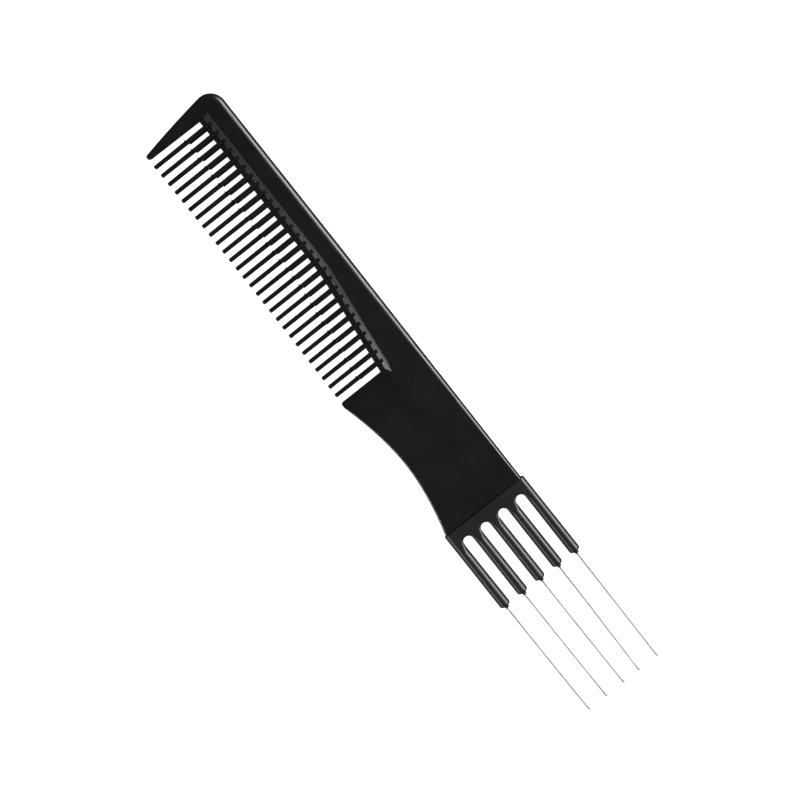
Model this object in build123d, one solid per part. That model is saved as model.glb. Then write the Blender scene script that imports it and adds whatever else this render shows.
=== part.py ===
from build123d import *
import math
import os

# Lift comb: a teasing comb head, a waisted handle and a fork block that holds
# slim steel prongs.  Sizes are in millimetres.
#
# The pieces are drawn with the head edge at X = 0, the prongs along +X, the
# teeth along -Y, the middle prong on Y = 0 and the middle of the thickness on
# Z = 0.  They are then moved to lie on Z = 0, centred on the origin.

# ------------------------------------------------------------------ overall
overall_length = 200.0  # head edge to prong tips
head_depth = 26.8  # back edge to the tips of the long teeth

# ------------------------------------------------------------------ fork
prong_count = 5
prong_pitch = 6.18
prong_d = 1.0
prong_free_length = 37.8  # tube mouth to prong tip
prong_root_length = 15.0  # held inside the tube
root_groove_count = 2  # lock grooves in the held length, besides the one under the collar
groove_depth = 0.18
groove_length = 1.2
tube_root_d = 3.08
tube_mouth_d = 3.2
tube_length = 22.4  # end of a fork slot to the tube mouth
neck_length = 1.8  # where the flat block turns into a round tube
mouth_rounding = 0.75
collar_length = 0.75
collar_base_wall = 0.2
collar_lip_wall = 0.05
block_land = 3.4  # seam to the end of a fork slot
block_edge_rounding = 0.35
slot_rim_rounding = 0.7  # round the ends of the fork slots
seam_step_back = 0.69  # the block stands proud of the handle's back edge
seam_step_front = 0.45  # and of its front edge

# ------------------------------------------------------------------ tongue
tongue_length = 2.4
tongue_thickness = 1.4
tongue_side_wall = 2.2  # block material beside the tongue
tongue_root_depth = 1.0  # how far the tongue starts inside the handle
lock_hole_d = 1.2

# ------------------------------------------------------------------ spine and handle
head_thickness = 3.2
handle_thickness = 2.6
head_crown = 2.0  # how far the head's round edge reaches in; its section is half an ellipse
handle_crown = 1.0  # the same, at the seam
waist_edge_rounding = 0.45
back_rise = 0.4  # from the seam up to the head's back edge
waist_depth = 3.7  # how far the front edge curves in
waist_shares = ((0.28, 0.82), (0.47, 1.0), (0.78, 0.64))  # along the handle, of waist_depth
spine_depth = 6.15  # back edge to the step above the teeth
step_rounding = 0.45

# ------------------------------------------------------------------ guards
head_corner_radius = 4.7
head_edge_rake = 7.0  # degrees that the corner turns past square
head_edge_lean = 3.26  # how far the head edge leans in, down to its tip
head_guard_width = 4.87  # head edge to the first slot
head_guard_tip_thickness = 1.4
guard_edge_rounding = 0.3  # beside the first slot, at the root
guard_sections = 6
tail_guard_edge_thickness = 1.2
tail_guard_bevel = 2.46  # width of the bevel beside the last slot
tail_guard_foot = 1.6
tail_guard_foot_rounding = 0.7

# ------------------------------------------------------------------ teeth
tooth_count = 28
straight_tooth_count = 17  # past these, the tooth roots fall towards the tail
tooth_pitch = 2.942
tooth_root_w = 1.32
tooth_tip_w = 1.16
tooth_tip_rounding = 0.4
end_slot_w = 1.92  # slot beside each guard
root_fall = 0.12  # fall of the tooth roots per millimetre of length
fall_bend_radius = 60.0
tip_line_arch = 0.3  # the long tips follow a shallow arch
tip_line_drop = 0.3  # the last long tip is lower than the first
long_row_thickness = 1.1
long_tip_thickness = 0.9
long_tooth_corner = 0.42
row_gap = 0.25  # between the long row and each short row
short_row_thickness = 0.5
short_tooth_w = 1.0
short_tooth_corner = 0.2
short_tooth_offset = 0.25  # towards the tail, from a long tooth's middle
short_tooth_reach = 5.85  # root line to the short tips
outer_web_depth = 1.37  # step to the lower edge of the outer webs
middle_web_depth = 2.85  # step to the lower edge of the middle web
outer_web_top_drop = 0.3  # spine's face to the outer web's upper edge
outer_web_slope = 0.7  # the outer web thins by this much down to its lower edge
web_edge_rounding = 0.2
rib_overlap = 0.5  # the short teeth run up over their web
barb_reach = 0.46
barb_length = 0.75
barb_point = 0.55  # share of its length above the barb's point
barb_gap = 0.2  # short tips to the barb
barb_thickness = 0.6
root_overlap = 0.4  # how far a root starts inside what carries it
cut_margin = 1.0  # how far a cutting shape starts outside what it cuts
edge_tolerance = 0.05
sliver = 0.001  # flat left in the round end of a neck, so that both ends have as many sides

# ------------------------------------------------------------------ worked out
prong_r = prong_d / 2
tube_root_r = tube_root_d / 2
tube_mouth_r = tube_mouth_d / 2
fork_slot_w = prong_pitch - tube_root_d
outer_prong_y = (prong_count - 1) / 2 * prong_pitch
block_half_w = outer_prong_y + tube_root_r
prong_ys = [outer_prong_y - i * prong_pitch for i in range(prong_count)]
slot_ys = [y - prong_pitch / 2 for y in prong_ys[:-1]]

mouth_x = overall_length - prong_free_length
slot_end_x = mouth_x - tube_length
slot_arc_x = slot_end_x + fork_slot_w / 2
neck_end_x = slot_arc_x + neck_length
seam_x = slot_end_x - block_land
prong_root_x = mouth_x - prong_root_length

seam_back_y = block_half_w - seam_step_back
seam_front_y = seam_step_front - block_half_w
back_y = seam_back_y + back_rise
rail_y = back_y - head_corner_radius
step_y = back_y - spine_depth
outer_web_y = step_y - outer_web_depth
middle_web_y = step_y - middle_web_depth
short_tip_y = middle_web_y - short_tooth_reach
foot_y = back_y - head_depth
first_long_tip_y = foot_y + tip_line_drop

first_tooth_x = head_guard_width + end_slot_w + tooth_tip_w / 2
last_tooth_x = first_tooth_x + (tooth_count - 1) * tooth_pitch
bend_x = first_tooth_x + straight_tooth_count * tooth_pitch
tail_guard_x = last_tooth_x + tooth_tip_w / 2 + end_slot_w
handle_x = tail_guard_x + tail_guard_bevel
handle_length = seam_x - handle_x
waist_y = seam_front_y + waist_depth

head_h = head_thickness / 2
handle_h = handle_thickness / 2
tip_h = head_guard_tip_thickness / 2
long_h = long_row_thickness / 2
short_z = long_h + row_gap + short_row_thickness / 2
outer_web_h = head_h - outer_web_top_drop

bend_angle = math.atan(root_fall)
bend_run = fall_bend_radius * math.tan(bend_angle / 2)
bend_dip = fall_bend_radius * (1 / math.cos(bend_angle / 2) - 1)


def fall(x):
    """How far the tooth roots have fallen at x."""
    return root_fall * max(0.0, x - bend_x)


def half_thickness(x):
    """Half the plate's thickness at x: even over the head, then a straight taper."""
    return head_h - (head_h - handle_h) * max(0.0, x - bend_x) / (seam_x - bend_x)


def falling_line(y, x_from, x_to):
    """A line at height y that bends gently at bend_x and falls with the tooth roots."""
    return FilletPolyline((x_from, y), (bend_x, y), (x_to, y - fall(x_to)), radius=fall_bend_radius)


def across(origin, outwards):
    """Plane for a section of the plate's edge: local x runs outwards, local y is Z."""
    return Plane(origin=origin, x_dir=outwards, z_dir=Vector(*outwards).rotate(Axis.Z, -90))


def nose(length, half, crown):
    """Section of a plate whose outer edge is half an ellipse, crown long."""
    flat = length - crown
    edge = EllipticalCenterArc((flat, 0), crown, half, start_angle=-90, arc_size=180)
    root = Polyline(edge @ 1, (0, half), (0, -half), edge @ 0)
    return make_face([edge, root])


def placed_nose(origin, outwards, length, half, crown):
    """A nose section, standing on origin and pointing outwards."""
    return (across(origin, outwards) * nose(length, half, crown)).face()


def is_edge_at(edge, half):
    """True for an edge that lies in one of the plate's two faces."""
    return abs(abs(edge.center().Z) - half) < edge_tolerance


# ------------------------------------------------------------------ comb body
def back_rail():
    """The rounded back edge, from the head corner to the seam."""
    start = placed_nose(
        (head_corner_radius, rail_y), (0, 1), head_corner_radius, head_h, head_crown
    )
    bend = placed_nose((bend_x, rail_y), (0, 1), head_corner_radius, head_h, head_crown)
    seam = placed_nose((seam_x, rail_y), (0, 1), seam_back_y - rail_y, handle_h, handle_crown)
    return [loft([start, bend], ruled=True), loft([bend, seam], ruled=True)]


def head_corner():
    """The round corner where the back edge turns into the head edge."""
    section = placed_nose((0, 0), (0, 1), head_corner_radius, head_h, head_crown)
    turned = revolve(section, Axis.Z, revolution_arc=90 + head_edge_rake)
    return Pos(head_corner_radius, rail_y) * turned


def guard_section(y, width, half, crown, slot_rounding):
    """Section of the head guard at height y, rounded less beside the first slot."""
    if slot_rounding:
        flat = width - crown
        edge = EllipticalCenterArc((flat, 0), crown, half, start_angle=-90, arc_size=180)
        slot_side = Polyline(
            edge @ 1,
            (slot_rounding, half),
            (0, half - slot_rounding),
            (0, slot_rounding - half),
            (slot_rounding, -half),
            edge @ 0,
        )
        face = make_face([edge, slot_side])
    else:
        face = nose(width, half, crown)
    return (across((head_guard_width, y), (-1, 0)) * face).face()


def head_guard():
    """The head edge and its guard, which thins from the spine to a rounded tip."""
    centre = Vector(head_corner_radius, rail_y)
    outwards = Vector(-1, 0).rotate(Axis.Z, head_edge_rake)
    start = centre + outwards * head_corner_radius
    tip_r = (head_guard_width - head_edge_lean) / 2
    tip_y = first_long_tip_y + tip_r
    edge = TangentArc(
        start, (head_edge_lean, tip_y), tangent=Vector(0, -1).rotate(Axis.Z, head_edge_rake)
    )
    corner = placed_nose(centre, outwards, head_corner_radius, head_h, head_crown)
    sections = []
    for i in range(guard_sections):
        share = i / (guard_sections - 1)
        y = step_y + (tip_y - step_y) * share
        x = edge.intersect(Axis((0, y, 0), (1, 0, 0))).vertex().X
        half = head_h + (tip_h - head_h) * share
        crown = head_crown + (tip_r - head_crown) * share
        sections.append((y, head_guard_width - x, half, crown))
    upper = loft([corner, guard_section(*sections[0], 0)], ruled=True)
    lower = loft([guard_section(*sizes, guard_edge_rounding) for sizes in sections], ruled=True)
    tip = placed_nose((0, 0), (-1, 0), tip_r, tip_h, tip_r)
    cap = Pos(head_edge_lean + tip_r, tip_y) * revolve(tip, Axis.Z, revolution_arc=180)
    return [upper, lower, cap]


def plate():
    """The flat of the spine, the handle and the tail guard, at full thickness."""
    step = falling_line(step_y, head_guard_width - root_overlap, tail_guard_x)
    waist = Spline(
        (tail_guard_x + tail_guard_foot, foot_y),
        *[
            (handle_x + along * handle_length, seam_front_y + inwards * waist_depth)
            for along, inwards in waist_shares
        ],
        (seam_x, seam_front_y),
    )
    outline = make_face(
        [
            Line(step @ 0, (head_guard_width - root_overlap, rail_y)),
            Line((head_guard_width - root_overlap, rail_y), (seam_x, rail_y)),
            Line((seam_x, rail_y), (seam_x, seam_front_y)),
            waist,
            Line(waist @ 0, (tail_guard_x, foot_y)),
            Line((tail_guard_x, foot_y), step @ 1),
            step,
        ]
    )
    foot = outline.vertices().sort_by_distance((tail_guard_x, foot_y))[0]
    outline = fillet(foot, tail_guard_foot_rounding)
    solid = extrude(outline, head_thickness, both=True)
    taper = make_face(
        Polyline(
            (0, -head_h),
            (bend_x, -head_h),
            (seam_x, -handle_h),
            (seam_x, handle_h),
            (bend_x, head_h),
            (0, head_h),
            close=True,
        )
    )
    return solid & extrude(Plane.XZ * taper, overall_length, both=True)


def guard_bevels():
    """What the tail guard loses beside the last slot, on both faces."""
    edge_h = tail_guard_edge_thickness / 2
    start_x = tail_guard_x - cut_margin
    wedge = make_face(
        Polyline(
            (tail_guard_x, edge_h),
            (handle_x, half_thickness(handle_x)),
            (handle_x, head_h + cut_margin),
            (start_x, head_h + cut_margin),
            (start_x, edge_h),
            close=True,
        )
    )
    reach = 2 * head_depth
    wedge = extrude(Plane.XZ * wedge, reach, both=True)
    below_step = make_face(
        Polyline(
            (start_x, step_y - fall(start_x)),
            (handle_x, step_y - fall(handle_x)),
            (handle_x, -reach),
            (start_x, -reach),
            close=True,
        )
    )
    wedge = wedge & extrude(below_step, 2 * head_thickness, both=True)
    return [wedge, mirror(wedge, about=Plane.XY)]


def web(lower_y, upper_h, lower_h):
    """The plate between the tooth roots, from its upper edge's half thickness to its lower one's."""
    section = make_face(
        Polyline(
            (step_y + root_overlap, -upper_h),
            (step_y, -upper_h),
            (lower_y, -lower_h),
            (lower_y, lower_h),
            (step_y, upper_h),
            (step_y + root_overlap, upper_h),
            close=True,
        )
    )
    section = fillet(section.vertices().group_by(Axis.X)[0], web_edge_rounding)
    places = [
        (head_guard_width - root_overlap, 0),
        (bend_x - bend_run, 0),
        (bend_x, bend_dip),
        (bend_x + bend_run, fall(bend_x + bend_run)),
        (handle_x - root_overlap / 2, fall(handle_x - root_overlap / 2)),
    ]
    sections = [
        (Plane(origin=(x, -drop, 0), x_dir=(0, 1, 0), z_dir=(1, 0, 0)) * section).face()
        for x, drop in places
    ]
    return loft(sections, ruled=True)


def tooth(x, z, root_y, tip_y, root_size, tip_size, corner, tip_rounding):
    """One tooth with round edges, tapering from its root to its rounded tip."""
    root = Plane(origin=(x, root_y, z), x_dir=(1, 0, 0), z_dir=(0, -1, 0))
    tip = Plane(origin=(x, tip_y, z), x_dir=(1, 0, 0), z_dir=(0, -1, 0))
    solid = loft(
        [
            (root * RectangleRounded(*root_size, corner)).face(),
            (tip * RectangleRounded(*tip_size, corner)).face(),
        ],
        ruled=True,
    )
    return fillet(solid.faces().sort_by(Axis.Y)[0].edges(), tip_rounding)


def barb(x, y):
    """A small barb on the head side of a long tooth, just below the short tips."""
    side_x = x - tooth_tip_w / 2
    face = make_face(
        Polyline(
            (side_x + barb_reach, y),
            (side_x - barb_reach, y - barb_point * barb_length),
            (side_x + barb_reach, y - barb_length),
            close=True,
        )
    )
    return extrude(face, barb_thickness / 2, both=True)


def teeth():
    """Three rows: long teeth in the middle, a short row on each side of them."""
    pieces = []
    for i in range(tooth_count):
        s = i / (tooth_count - 1)
        x = first_tooth_x + i * tooth_pitch
        tip_y = first_long_tip_y - tip_line_drop * s + tip_line_arch * 4 * s * (1 - s)
        pieces.append(
            tooth(
                x,
                0,
                middle_web_y - fall(x) + root_overlap,
                tip_y,
                (tooth_root_w, long_row_thickness),
                (tooth_tip_w, long_tip_thickness),
                long_tooth_corner,
                tooth_tip_rounding,
            )
        )
        short_end_y = short_tip_y - fall(x)
        pieces.append(barb(x, short_end_y - barb_gap))
        for z in (short_z, -short_z):
            pieces.append(
                tooth(
                    x + short_tooth_offset,
                    z,
                    outer_web_y - fall(x) + rib_overlap,
                    short_end_y,
                    (short_tooth_w, short_row_thickness),
                    (short_tooth_w, short_row_thickness),
                    short_tooth_corner,
                    short_tooth_corner - edge_tolerance,
                )
            )
    return pieces


def tongue():
    """The tongue that the fork block is moulded on, with its lock holes."""
    length = tongue_root_depth + tongue_length
    solid = Pos(seam_x - tongue_root_depth, 0) * Box(
        length,
        2 * (block_half_w - tongue_side_wall),
        tongue_thickness,
        align=(Align.MIN, Align.CENTER, Align.CENTER),
    )
    for y in slot_ys:
        solid -= Pos(seam_x + tongue_length / 2, y) * Cylinder(lock_hole_d / 2, tongue_thickness)
    return solid


def comb_body():
    """The moulded comb, from the head edge to the tongue inside the fork block."""
    flat = plate()
    waist_edges = [
        e
        for e in flat.edges()
        if abs(e.center().Z) > handle_h / 2
        and e.center().X > handle_x
        and e.center().Y < 0
        and e.length > handle_length / 2
    ]
    flat = fillet(waist_edges, waist_edge_rounding)
    step_edges = [
        e
        for e in flat.edges()
        if abs(e.center().Z) > handle_h
        and abs(e.center().Y + fall(e.center().X) - step_y) < bend_dip + edge_tolerance
        and e.center().X < tail_guard_x
    ]
    flat = fillet(step_edges, step_rounding)
    flat = flat - guard_bevels()
    body = flat + back_rail() + [head_corner(), *head_guard(), tongue()]
    body += [
        web(outer_web_y, outer_web_h, outer_web_h - outer_web_slope),
        web(middle_web_y, long_h, long_h),
    ]
    body += teeth()
    return body


# ------------------------------------------------------------------ fork
def prong(y):
    """One steel prong: a grooved root, a straight shank and a round tip."""
    groove_r = prong_r - groove_depth
    spacing = prong_root_length / (root_groove_count + 1)
    grooves = [prong_root_x + i * spacing for i in range(1, root_groove_count + 1)]
    grooves.append(mouth_x + collar_length - groove_length)
    points = [(prong_root_x, 0), (prong_root_x, prong_r)]
    for start in grooves:
        end = start + groove_length
        points += [(start, prong_r), (start, groove_r), (end, groove_r), (end, prong_r)]
    points.append((overall_length - prong_r, prong_r))
    side = Polyline(*points)
    tip = CenterArc((overall_length - prong_r, 0), prong_r, 0, 90)
    profile = make_face([side, tip, Line((overall_length, 0), (prong_root_x, 0))])
    return Pos(0, y) * revolve(profile, Axis.X)


def neck(y):
    """Where a tube leaves the flat block: a rounded square that becomes a circle."""
    start = Plane(origin=(slot_arc_x, y, 0), x_dir=(0, 1, 0), z_dir=(1, 0, 0))
    end = start.offset(neck_length)
    square = RectangleRounded(tube_root_d, tube_root_d, slot_rim_rounding)
    circle = RectangleRounded(tube_root_d, tube_root_d, tube_root_r - sliver)
    return loft([(start * square).face(), (end * circle).face()], ruled=True)


def tube(y):
    """The round part of a tube, its rounded mouth and the small collar on it."""
    length = mouth_x - neck_end_x
    along = Plane(origin=(neck_end_x, y, 0), x_dir=(0, 1, 0), z_dir=(1, 0, 0))
    up = (Align.CENTER, Align.CENTER, Align.MIN)
    solid = Cone(tube_root_r, tube_mouth_r, length, align=up)
    solid = fillet(solid.edges().sort_by(Axis.Z)[-1], mouth_rounding)
    solid += Pos(0, 0, length) * Cone(
        prong_r + collar_base_wall, prong_r + collar_lip_wall, collar_length, align=up
    )
    return along * solid


def prong_block():
    """The fork block with its tubes, moulded over the tongue and the prong roots."""
    profile = SlotOverall(2 * block_half_w, tube_root_d)
    start = Plane(origin=(seam_x, 0, 0), x_dir=(0, 1, 0), z_dir=(1, 0, 0))
    land = extrude(start * profile, slot_arc_x - seam_x)
    for y in slot_ys:
        land -= Pos(slot_arc_x, y) * Cylinder(fork_slot_w / 2, 2 * tube_root_d)
    rims = [
        e
        for e in land.edges()
        if e.geom_type == GeomType.CIRCLE
        and e.length < 2 * fork_slot_w
        and is_edge_at(e, tube_root_r)
        and seam_x + block_edge_rounding < e.center().X < slot_arc_x - edge_tolerance
    ]
    land = fillet(rims, slot_rim_rounding)
    land = fillet(land.faces().sort_by(Axis.X)[0].edges(), block_edge_rounding)
    block = land
    for y in prong_ys:
        inner = neck(y)
        if abs(y) == outer_prong_y:
            side = 1 if y > 0 else -1
            half = Box(neck_length, tube_root_d, 2 * tube_root_d)
            half = Pos(slot_arc_x + neck_length / 2, y + side * tube_root_r) * half
            along = Plane(origin=(slot_arc_x, y, 0), x_dir=(0, 1, 0), z_dir=(1, 0, 0))
            rounded = extrude(along * Circle(tube_root_r), neck_length)
            inner = (inner - half) + (rounded & half)
        block += [inner, tube(y)]
    block -= tongue()
    for y in prong_ys:
        block -= prong(y)
    return block


# ------------------------------------------------------------------ finished pieces
rest = Pos(-overall_length / 2, 0, max(head_h, tube_mouth_r))
pieces = {"comb_body": comb_body(), "prong_block": prong_block()}
for number, y in enumerate(prong_ys, start=1):
    pieces[f"prong_{number}"] = prong(y)

os.makedirs("parts", exist_ok=True)
for name, piece in pieces.items():
    export_step(rest * piece, f"parts/{name}.step")
    print(name, round(piece.volume, 2), piece.is_valid, len(piece.solids()))
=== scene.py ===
import bpy
import bmesh
import math
from mathutils import Euler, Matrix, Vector


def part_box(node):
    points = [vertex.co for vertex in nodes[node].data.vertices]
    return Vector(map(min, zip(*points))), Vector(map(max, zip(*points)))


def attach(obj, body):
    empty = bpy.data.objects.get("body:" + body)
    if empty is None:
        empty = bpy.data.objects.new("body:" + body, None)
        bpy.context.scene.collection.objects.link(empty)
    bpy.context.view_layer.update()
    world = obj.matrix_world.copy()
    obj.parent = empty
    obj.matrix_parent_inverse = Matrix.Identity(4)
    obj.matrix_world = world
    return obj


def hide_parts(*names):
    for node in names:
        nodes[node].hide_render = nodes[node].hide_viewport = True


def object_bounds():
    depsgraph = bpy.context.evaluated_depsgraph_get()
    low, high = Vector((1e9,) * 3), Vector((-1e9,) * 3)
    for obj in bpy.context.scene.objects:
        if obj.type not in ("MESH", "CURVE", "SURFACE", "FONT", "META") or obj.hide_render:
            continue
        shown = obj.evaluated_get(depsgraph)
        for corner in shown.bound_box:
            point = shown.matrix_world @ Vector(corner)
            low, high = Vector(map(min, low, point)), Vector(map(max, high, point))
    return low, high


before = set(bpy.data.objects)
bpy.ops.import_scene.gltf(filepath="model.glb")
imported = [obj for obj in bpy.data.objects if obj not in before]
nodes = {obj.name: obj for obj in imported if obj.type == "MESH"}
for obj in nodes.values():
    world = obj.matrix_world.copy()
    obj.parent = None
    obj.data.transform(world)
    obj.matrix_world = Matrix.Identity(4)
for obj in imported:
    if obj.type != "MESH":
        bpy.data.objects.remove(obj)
cad_low, cad_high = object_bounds()
scene = bpy.context.scene

# ------------------------------------------------------------------ camera

CAMERA_PLACE = (-0.01171, 0.00388, 0.27816)
CAMERA_TURN = (-2.174, -0.75, 51.525)  # degrees
CAMERA_LENS = 45.0
SENSOR_WIDTH = 36.0
CLIP_START = 0.01
CLIP_END = 50.0
VIEW_GAMMA = 0.8  # darkens the half-tones, so that dark edges keep their width against white

camera_data = bpy.data.cameras.new("camera")
camera_data.lens = CAMERA_LENS
camera_data.sensor_width = SENSOR_WIDTH
camera_data.clip_start = CLIP_START
camera_data.clip_end = CLIP_END
camera = bpy.data.objects.new("camera", camera_data)
camera.location = CAMERA_PLACE
camera.rotation_euler = Euler([math.radians(a) for a in CAMERA_TURN], "XYZ")
scene.collection.objects.link(camera)
scene.camera = camera
scene.view_settings.view_transform = "Standard"
scene.view_settings.gamma = VIEW_GAMMA


# ------------------------------------------------------------------ material helpers

class Nodes:
    """A material's node tree, with one short call for each kind of node used here."""

    def __init__(self, name):
        self.material = bpy.data.materials.new(name)
        self.material.use_nodes = True
        self.tree = self.material.node_tree
        self.tree.nodes.clear()
        self.out = self.tree.nodes.new("ShaderNodeOutputMaterial")
        self.shader = self.tree.nodes.new("ShaderNodeBsdfPrincipled")
        self.join(self.shader.outputs["BSDF"], self.out.inputs["Surface"])
        self.place = self.tree.nodes.new("ShaderNodeTexCoord").outputs["Object"]

    def join(self, a, b):
        self.tree.links.new(a, b)

    def stretched(self, scale):
        """Object coordinates with each axis scaled on its own."""
        node = self.tree.nodes.new("ShaderNodeMapping")
        node.inputs["Scale"].default_value = scale
        self.join(self.place, node.inputs["Vector"])
        return node.outputs["Vector"]

    def noise(self, scale, detail=3.0, rough=0.5, vector=None):
        node = self.tree.nodes.new("ShaderNodeTexNoise")
        node.inputs["Scale"].default_value = scale
        node.inputs["Detail"].default_value = detail
        node.inputs["Roughness"].default_value = rough
        self.join(vector or self.place, node.inputs["Vector"])
        return node.outputs["Fac"]

    def blend(self, fac, dark, light):
        """A colour that a noise value moves between dark and light."""
        node = self.tree.nodes.new("ShaderNodeValToRGB")
        for element, at, color in zip(node.color_ramp.elements, NOISE_SPAN, (dark, light)):
            element.position = at
            element.color = (*color, 1.0)
        self.join(fac, node.inputs["Fac"])
        return node.outputs["Color"]

    def spread(self, fac, low, high, span=None):
        """A noise value moved to the range low..high."""
        node = self.tree.nodes.new("ShaderNodeMapRange")
        node.inputs["From Min"].default_value, node.inputs["From Max"].default_value = span or NOISE_SPAN
        node.inputs["To Min"].default_value = low
        node.inputs["To Max"].default_value = high
        self.join(fac, node.inputs["Value"])
        return node.outputs["Result"]

    def add(self, a, b):
        node = self.tree.nodes.new("ShaderNodeMath")
        node.operation = "ADD"
        self.join(a, node.inputs[0])
        self.join(b, node.inputs[1])
        return node.outputs["Value"]

    def bump(self, height, distance, below=None):
        node = self.tree.nodes.new("ShaderNodeBump")
        node.inputs["Strength"].default_value = 1.0
        node.inputs["Distance"].default_value = distance
        self.join(height, node.inputs["Height"])
        if below is not None:
            self.join(below, node.inputs["Normal"])
        return node.outputs["Normal"]


# ------------------------------------------------------------------ materials

NOISE_SPAN = (0.3, 0.7)  # the part of a noise's range that nearly all of its values lie in

# Each noise has its scale, detail and roughness. Bump distances are in metres.
FLOW_MARKS = (60.0, 4.0, 0.55)
FLOW_STRETCH = (0.5, 1.6, 1.0)
SHEEN_PATCHES = (140.0, 5.0, 0.6)
SCUFFS = (900.0, 6.0, 0.7)
SCUFF_STRETCH = (0.06, 1.0, 1.0)  # long lines along the comb
SCUFF_SPAN = (0.58, 0.7)  # only the noise's peaks become scuffs
SCUFF_ROUGHNESS = 0.08
SATIN_GRAIN = (5200.0, 2.0, 0.5)
GRAIN_BUMP = 2.2e-6
SURFACE_WAVES = (220.0, 2.0, 0.4)
WAVE_BUMP = 9e-6
PLASTIC_IOR = 1.5
PLASTIC_SPECULAR = 0.45

DRAWN_LINES = (9000.0, 3.0, 0.6)
LINE_STRETCH = (0.02, 1.0, 1.0)  # the lines run along the wire
LINE_BUMP = 1.2e-6
STEEL_PATCHES = (400.0, 4.0, 0.6)
STEEL_PATCH_STRETCH = (0.2, 1.0, 1.0)
STEEL_DARK = (0.36, 0.363, 0.368)
STEEL_LIGHT = (0.43, 0.43, 0.434)
STEEL_ROUGHNESS = (0.10, 0.16)


def satin_plastic(name, dark, light, roughness):
    """Black moulded plastic: faint flow marks, a fine satin grain and a few hairline scuffs."""
    m = Nodes(name)
    flow = m.noise(*FLOW_MARKS, m.stretched(FLOW_STRETCH))
    m.join(m.blend(flow, dark, light), m.shader.inputs["Base Color"])
    patches = m.spread(m.noise(*SHEEN_PATCHES), *roughness)
    scuffs = m.noise(*SCUFFS, m.stretched(SCUFF_STRETCH))
    hairlines = m.spread(scuffs, 0.0, SCUFF_ROUGHNESS, SCUFF_SPAN)
    m.join(m.add(patches, hairlines), m.shader.inputs["Roughness"])
    grain = m.bump(m.noise(*SATIN_GRAIN), GRAIN_BUMP)
    waviness = m.bump(m.noise(*SURFACE_WAVES), WAVE_BUMP, grain)
    m.join(waviness, m.shader.inputs["Normal"])
    m.shader.inputs["IOR"].default_value = PLASTIC_IOR
    m.shader.inputs["Specular IOR Level"].default_value = PLASTIC_SPECULAR
    return m.material


def drawn_steel(name):
    """Polished stainless wire, with the fine lines that drawing leaves along it."""
    m = Nodes(name)
    lines = m.noise(*DRAWN_LINES, m.stretched(LINE_STRETCH))
    m.join(m.blend(lines, STEEL_DARK, STEEL_LIGHT), m.shader.inputs["Base Color"])
    patches = m.noise(*STEEL_PATCHES, m.stretched(STEEL_PATCH_STRETCH))
    m.join(m.spread(patches, *STEEL_ROUGHNESS), m.shader.inputs["Roughness"])
    m.join(m.bump(lines, LINE_BUMP), m.shader.inputs["Normal"])
    m.shader.inputs["Metallic"].default_value = 1.0
    return m.material


comb_plastic = satin_plastic(
    "comb_plastic", (0.0042, 0.0042, 0.0045), (0.0064, 0.0064, 0.0066), (0.27, 0.35))
block_plastic = satin_plastic(
    "block_plastic", (0.0072, 0.0072, 0.0075), (0.0104, 0.0104, 0.0107), (0.34, 0.42))
prong_steel = drawn_steel("prong_steel")

for name, material in (("comb_body", comb_plastic), ("prong_block", block_plastic)):
    nodes[name].data.materials.clear()
    nodes[name].data.materials.append(material)

# ------------------------------------------------------------------ steel prongs

PRONG_SIDES = 32
SHANK_STEPS = 60
TIP_STEPS = 8
POINT_SHARE = 0.02  # a ring under this share of the wire's radius becomes one point
# How far each prong's tip has sprung sideways from straight, in metres.
PRONG_SPRING = {1: -0.00019, 2: -0.00053, 3: 0.00017, 4: 0.00022, 5: 0.00028}
SPRING_CURVE = 1.6  # the bend gathers towards the tip


def wire_stations(start, end, radius):
    """Places along a wire with a domed tip, each with the wire's radius there."""
    shank_end = end - radius
    stations = []
    for i in range(SHANK_STEPS + 1):
        stations.append((start + (shank_end - start) * i / SHANK_STEPS, radius))
    for i in range(1, TIP_STEPS + 1):
        turn = math.radians(90.0 * i / TIP_STEPS)
        stations.append((shank_end + radius * math.sin(turn), radius * math.cos(turn)))
    return stations


def join_rings(bm, a, b):
    """Faces from one ring of vertices to the next, which may be a single point."""
    for k in range(PRONG_SIDES):
        n = (k + 1) % PRONG_SIDES
        if len(b) == 1:
            bm.faces.new((a[k], a[n], b[0]))
        else:
            bm.faces.new((a[k], a[n], b[n], b[k]))


def wire_mesh(name, stations, centre_line, radius):
    """A closed round wire. centre_line gives its centre's y and z at a place along it."""
    bm = bmesh.new()
    rings = []
    for x, r in stations:
        y, z = centre_line(x)
        if r < radius * POINT_SHARE:
            rings.append([bm.verts.new((x, y, z))])
            continue
        ring = []
        for k in range(PRONG_SIDES):
            a = 2 * math.pi * k / PRONG_SIDES
            ring.append(bm.verts.new((x, y + r * math.cos(a), z + r * math.sin(a))))
        rings.append(ring)
    for a, b in zip(rings, rings[1:]):
        join_rings(bm, a, b)
    bm.faces.new(rings[0][::-1])
    bmesh.ops.recalc_face_normals(bm, faces=bm.faces)
    mesh = bpy.data.meshes.new(name)
    bm.to_mesh(mesh)
    bm.free()
    for face in mesh.polygons:
        face.use_smooth = len(face.vertices) <= 4
    return mesh


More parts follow.
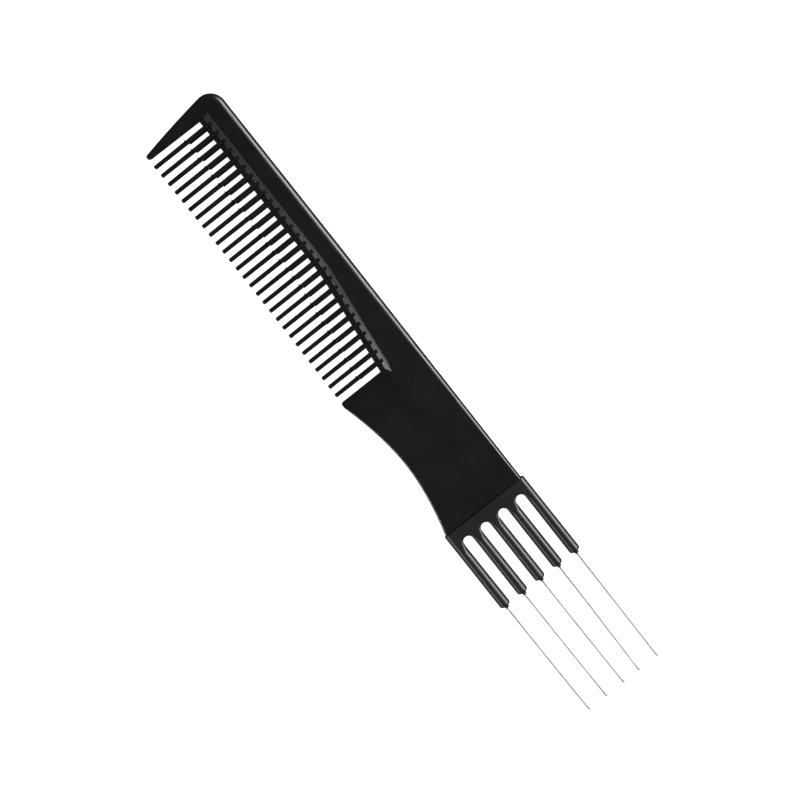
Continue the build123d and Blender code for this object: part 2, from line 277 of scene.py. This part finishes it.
def steel_prong(number):
    """A round wire with a domed tip, sprung a little to one side over its free length."""
    node = f"prong_{number}"
    low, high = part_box(node)
    y, z = (low.y + high.y) / 2, (low.z + high.z) / 2
    radius = (high.z - low.z) / 2
    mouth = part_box("prong_block")[1].x
    free = high.x - mouth

    def centre_line(x):
        along = max(0.0, (x - mouth) / free)
        return y + PRONG_SPRING[number] * along ** SPRING_CURVE, z

    stations = wire_stations(low.x, high.x, radius)
    mesh = wire_mesh(f"steel_{node}", stations, centre_line, radius)
    mesh.materials.append(prong_steel)
    piece = bpy.data.objects.new(f"steel_{node}", mesh)
    scene.collection.objects.link(piece)
    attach(piece, "root")
    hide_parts(node)


for number in PRONG_SPRING:
    steel_prong(number)

# ------------------------------------------------------------------ floor and light

FLOOR_HALF = 4.0
FLOOR_DROP = 0.00005
FLOOR_NOISE = 12.0
FLOOR_DARK = (0.18, 0.18, 0.18)
FLOOR_LIGHT = (0.20, 0.20, 0.20)
FLOOR_ROUGHNESS = 0.9
FLOOR_GLOW = 0.97  # the floor looks white mostly by its own light

floor_mesh = bpy.data.meshes.new("floor")
floor_mesh.from_pydata(
    [(-FLOOR_HALF, -FLOOR_HALF, 0), (FLOOR_HALF, -FLOOR_HALF, 0),
     (FLOOR_HALF, FLOOR_HALF, 0), (-FLOOR_HALF, FLOOR_HALF, 0)],
    [], [(0, 1, 2, 3)])
floor = bpy.data.objects.new("floor", floor_mesh)
floor.location.z = cad_low.z - FLOOR_DROP
scene.collection.objects.link(floor)
floor.visible_glossy = False
paper = Nodes("floor_white")
paper.join(paper.blend(paper.noise(FLOOR_NOISE), FLOOR_DARK, FLOOR_LIGHT),
           paper.shader.inputs["Base Color"])
paper.shader.inputs["Roughness"].default_value = FLOOR_ROUGHNESS
paper.shader.inputs["Specular IOR Level"].default_value = 0.0
paper.shader.inputs["Emission Color"].default_value = (1.0, 1.0, 1.0, 1.0)
paper.shader.inputs["Emission Strength"].default_value = FLOOR_GLOW
floor_mesh.materials.append(paper.material)

# A dim grey dome, lightest a little above the horizon. Each stop is a height in the dome,
# from 0 at the horizon to 1 overhead, and a grey.
SKY = [(0.0, 0.10), (0.30, 0.20), (0.70, 0.15), (0.95, 0.12)]

world = bpy.data.worlds.new("studio")
scene.world = world
world.use_nodes = True
tree = world.node_tree
tree.nodes.clear()
out = tree.nodes.new("ShaderNodeOutputWorld")
background = tree.nodes.new("ShaderNodeBackground")
ramp = tree.nodes.new("ShaderNodeValToRGB")
split = tree.nodes.new("ShaderNodeSeparateXYZ")
direction = tree.nodes.new("ShaderNodeTexCoord")
tree.links.new(direction.outputs["Generated"], split.inputs["Vector"])
tree.links.new(split.outputs["Z"], ramp.inputs["Fac"])
tree.links.new(ramp.outputs["Color"], background.inputs["Color"])
tree.links.new(background.outputs["Background"], out.inputs["Surface"])
while len(ramp.color_ramp.elements) < len(SKY):
    ramp.color_ramp.elements.new(0.5)
for element, (at, grey) in zip(ramp.color_ramp.elements, SKY):
    element.position = at
    element.color = (grey, grey, grey, 1.0)
background.inputs["Strength"].default_value = 1.0


def panel(name, place, target, size, power):
    """A rectangular softbox that faces a point. Its size is its width and height."""
    data = bpy.data.lights.new(name, "AREA")
    data.shape = "RECTANGLE"
    data.size, data.size_y = size
    data.energy = power
    light = bpy.data.objects.new(name, data)
    light.location = place
    aim = Vector(target) - Vector(place)
    light.rotation_euler = aim.to_track_quat("-Z", "Y").to_euler()
    scene.collection.objects.link(light)


# The key light is behind the back edge. The two fills are in front of the teeth.
panel("key", place=(0.02, 0.50, 0.34), target=(0, 0, 0), size=(0.90, 0.34), power=16.0)
panel("fill", place=(0.00, -0.55, 0.16), target=(0, 0, 0), size=(1.10, 0.26), power=4.4)
panel("tail_fill", place=(0.00, -0.46, 0.34), target=(-0.02, 0, 0), size=(0.12, 0.20), power=1.6)
